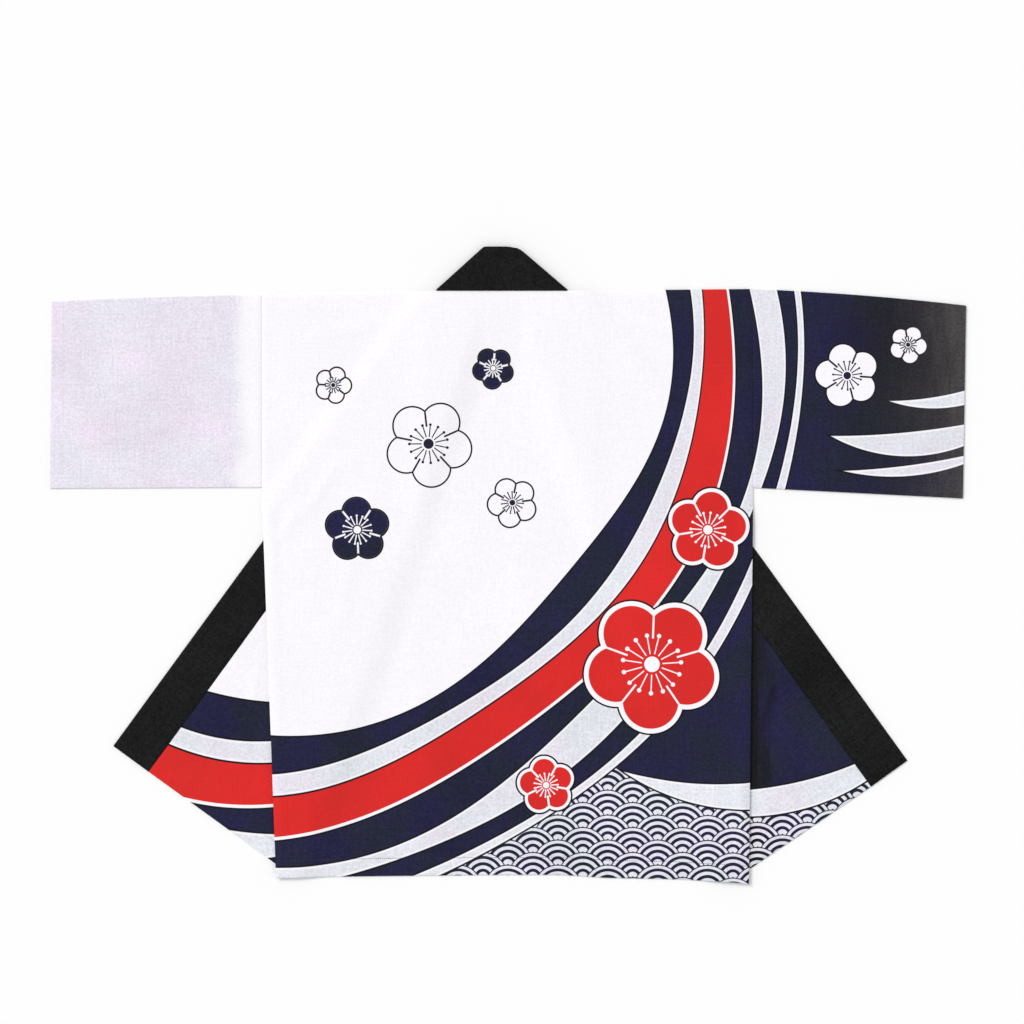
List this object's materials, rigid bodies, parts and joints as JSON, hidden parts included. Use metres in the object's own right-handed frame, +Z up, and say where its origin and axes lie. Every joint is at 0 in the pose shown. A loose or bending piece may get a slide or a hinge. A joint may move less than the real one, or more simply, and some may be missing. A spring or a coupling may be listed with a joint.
{
  "type": "happi coat",
  "caption": "Straight-cut cotton happi coat laid flat with its back up, both fronts turned out at the sides and a black collar band round the neck.",
  "frame": {"origin": "on the surface that the coat lies on, at the middle of its plan", "axes": "+Y from the hem to the neck, +X to the right sleeve as seen from above, +Z up from the surface"},
  "size_m": [1.248, 0.8672, 0.0088],
  "materials": {
    "printed_cotton": "plain-weave cotton printed in navy, red and pale grey on white",
    "white_cotton": "plain-weave white cotton",
    "navy_cotton": "plain-weave navy cotton",
    "black_cotton": "plain-weave black cotton, folded in layers"
  },
  "bodies": {
    "root": {"back": "printed_cotton", "front_left": "printed_cotton", "front_right": "printed_cotton", "sleeve_left": "white_cotton", "sleeve_right": "navy_cotton", "collar": "black_cotton"}
  },
  "joints": []
}
